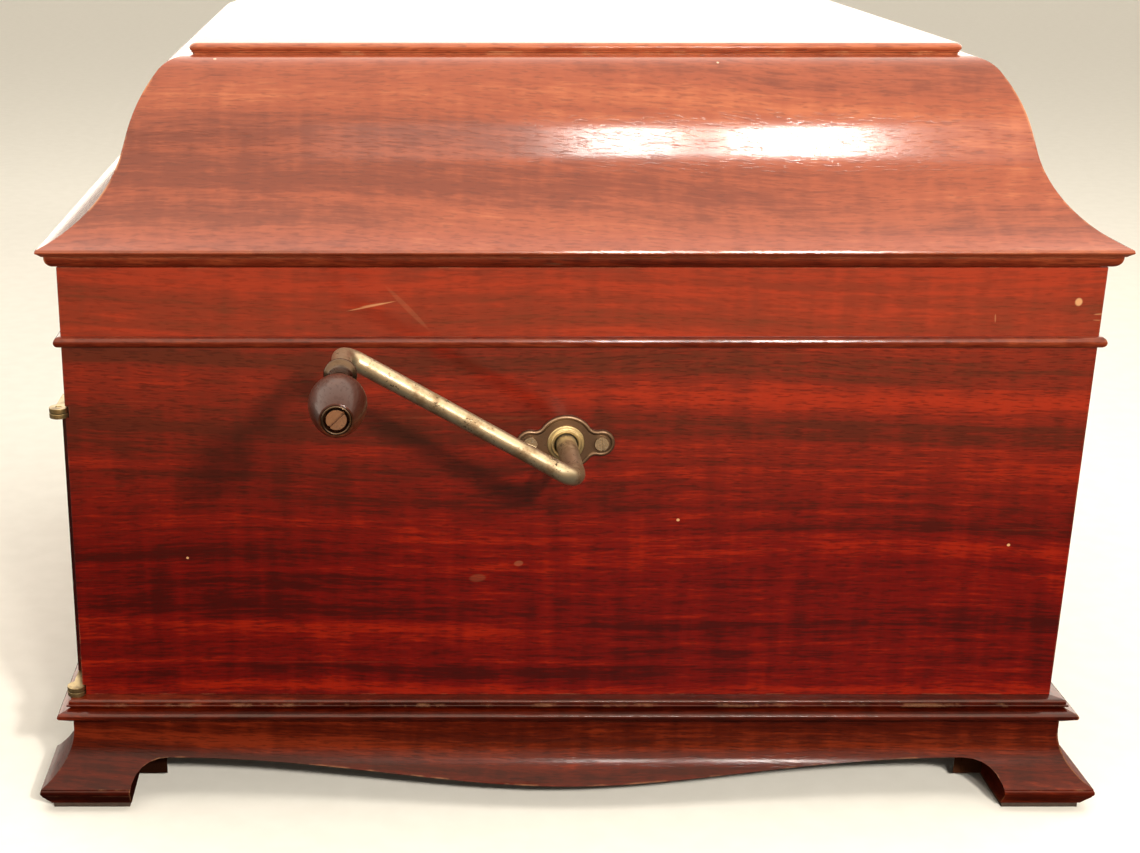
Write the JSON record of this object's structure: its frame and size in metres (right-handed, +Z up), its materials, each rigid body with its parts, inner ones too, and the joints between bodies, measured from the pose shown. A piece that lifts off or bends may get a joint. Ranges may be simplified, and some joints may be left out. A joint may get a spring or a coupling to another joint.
{
  "type": "hand crank music box",
  "caption": "Table-top music box in a mahogany case with an ogee lid, bracket feet, front doors, a winding crank and a disc movement inside.",
  "frame": {"origin": "middle of the footprint, crank included, on the surface the feet stand on", "axes": "+X from the doors to the lid hinges along the crank side, -Y out of the crank side, +Z up"},
  "size_m": [0.5424, 0.6117, 0.3812],
  "materials": {
    "case_veneer": "gloss",
    "moulding": "gloss",
    "base_wood": "gloss",
    "lid_veneer": "gloss",
    "door_veneer": "gloss",
    "inner_wood": "matte",
    "pad": "matte",
    "grille_cloth": "woven",
    "brass": "satin",
    "pivot_brass": "aged",
    "bush_brass": "worn",
    "screw_brass": "worn",
    "motor_brass": "satin",
    "roller_brass": "satin",
    "nickel_plate": "worn nickel plate",
    "nickel_rod": "worn nickel plate",
    "nickel_bar": "nickel plate",
    "screw_steel": "worn",
    "knob_wood": "gloss",
    "ferrule": "aged dark bronze",
    "steel": "satin",
    "spring_steel": "blued",
    "comb_steel": "ground",
    "disc_steel": "satin",
    "bed_iron": "bronzed lacquer",
    "black_iron": "japanned"
  },
  "bodies": {
    "case": {"crank_side_panel": "case_veneer", "far_side_panel": "case_veneer", "back_panel": "case_veneer", "frieze_rail": "case_veneer", "bead_moulding": "moulding", "base_moulding": "moulding", "bottom_board": "inner_wood", "crank_side_base": "base_wood", "back_base": "base_wood", "far_side_base": "base_wood", "front_base": "base_wood", "corner_blocks": "inner_wood", "foot_pads": "pad", "grille": "moulding", "grille_cloth": "grille_cloth", "bedplate_rails": "inner_wood", "case_hinge_leaves": "brass", "stay_keeper": "brass", "case_pivots": "pivot_brass", "escutcheon": "nickel_plate", "escutcheon_screws": "screw_steel", "crank_bush": "bush_brass", "motor_frame": "motor_brass", "drive_bracket": "black_iron", "bedplate": "bed_iron", "combs": "comb_steel", "star_gantry": "motor_brass", "disc_spindle": "steel", "bar_bracket": "black_iron"},
    "lid": {"lid_crank_side": "lid_veneer", "lid_back": "lid_veneer", "lid_far_side": "lid_veneer", "lid_front": "lid_veneer", "lid_rim": "moulding", "lid_cap": "lid_veneer", "lid_hinge_leaves": "brass", "lid_stay": "brass"},
    "door_left": {"door_left": "door_veneer", "door_knob_left": "brass", "door_pivots_left": "pivot_brass"},
    "door_right": {"door_right": "door_veneer", "door_knob_right": "brass", "door_pivots_right": "pivot_brass"},
    "crank": {"crank_arm": "nickel_rod", "knob_screw": "screw_brass", "winding_arbor": "steel"},
    "knob": {"crank_knob": "knob_wood", "knob_ferrule": "ferrule"},
    "click": {"click": "steel"},
    "barrel": {"spring_barrel": "motor_brass", "mainspring": "spring_steel"},
    "sprocket": {"drive_sprocket": "motor_brass"},
    "second_arbor": {"second_wheel": "motor_brass"},
    "third_arbor": {"worm_wheel": "motor_brass"},
    "fly": {"governor_fly": "steel"},
    "disc": {"tune_disc": "disc_steel"},
    "stars": {"star_wheels": "motor_brass"},
    "bar": {"pressure_bar": "nickel_bar"},
    "rollers": {"pressure_rollers": "roller_brass"},
    "starter": {"start_lever": "brass"}
  },
  "joints": [
    {"name": "lid_hinge", "type": "hinge", "parent": "case", "child": "lid", "pos_m": [0.2555, 0.06465, 0.2832], "axis": [0, 1, 0], "range_deg": [0, 68]},
    {"name": "left_door_hinge", "type": "hinge", "parent": "case", "child": "door_left", "pos_m": [-0.2532, -0.15475, 0.135], "axis": [0, 0, 1], "range_deg": [0, 105]},
    {"name": "right_door_hinge", "type": "hinge", "parent": "case", "child": "door_right", "pos_m": [-0.2532, 0.28405, 0.135], "axis": [0, 0, -1], "range_deg": [0, 105]},
    {"name": "crank_turn", "type": "hinge", "parent": "case", "child": "crank", "pos_m": [-0.005, -0.15535, 0.195], "axis": [0, 1, 0], "continuous": true},
    {"name": "knob_spin", "type": "hinge", "parent": "crank", "child": "knob", "pos_m": [-0.11292, -0.26535, 0.25606], "axis": [0, 1, 0], "continuous": true},
    {"name": "click_pivot", "type": "hinge", "parent": "case", "child": "click", "pos_m": [-0.035, -0.13035, 0.215], "axis": [0, -1, 0], "range_deg": [0, 10], "stiffness_Nm_per_rad": 0.02, "springref_deg": -5.73},
    {"name": "disc_turn", "type": "hinge", "parent": "case", "child": "disc", "pos_m": [-0.005, 0.06465, 0.266], "axis": [0, 0, 1], "continuous": true},
    {"name": "barrel_turn", "type": "hinge", "parent": "case", "child": "barrel", "pos_m": [-0.005, -0.09535, 0.195], "axis": [0, 1, 0], "continuous": true},
    {"name": "sprocket_turn", "type": "hinge", "parent": "case", "child": "sprocket", "pos_m": [-0.005, -0.10535, 0.25183], "axis": [0, 1, 0], "continuous": true},
    {"name": "second_arbor_turn", "type": "hinge", "parent": "case", "child": "second_arbor", "pos_m": [0.04384, -0.08535, 0.17234], "axis": [0, 1, 0], "continuous": true},
    {"name": "third_arbor_turn", "type": "hinge", "parent": "case", "child": "third_arbor", "pos_m": [0.06345, -0.08535, 0.18879], "axis": [0, 1, 0], "continuous": true},
    {"name": "fly_spin", "type": "hinge", "parent": "case", "child": "fly", "pos_m": [0.07465, -0.05485, 0.18879], "axis": [0, 0, 1], "continuous": true},
    {"name": "star_turn", "type": "hinge", "parent": "case", "child": "stars", "pos_m": [0.037, 0.06465, 0.2583], "axis": [1, 0, 0], "continuous": true},
    {"name": "bar_hinge", "type": "hinge", "parent": "case", "child": "bar", "pos_m": [0.196, 0.06465, 0.278], "axis": [0, 1, 0], "range_deg": [0, 20]},
    {"name": "roller_spin", "type": "hinge", "parent": "bar", "child": "rollers", "pos_m": [0.095, 0.06465, 0.2701], "axis": [1, 0, 0], "continuous": true},
    {"name": "starter_turn", "type": "hinge", "parent": "case", "child": "starter", "pos_m": [-0.168, -0.06935, 0.249], "axis": [0, 0, 1], "range_deg": [0, 18]}
  ],
  "couplings": [
    {"joint": "sprocket_turn", "follows": "disc_turn", "ratio": 12},
    {"joint": "barrel_turn", "follows": "disc_turn", "ratio": -2.5532},
    {"joint": "second_arbor_turn", "follows": "disc_turn", "ratio": 17.143},
    {"joint": "third_arbor_turn", "follows": "disc_turn", "ratio": -51.429},
    {"joint": "fly_spin", "follows": "disc_turn", "ratio": -514.29},
    {"joint": "star_turn", "follows": "disc_turn", "ratio": -20},
    {"joint": "roller_spin", "follows": "disc_turn", "ratio": 32}
  ]
}
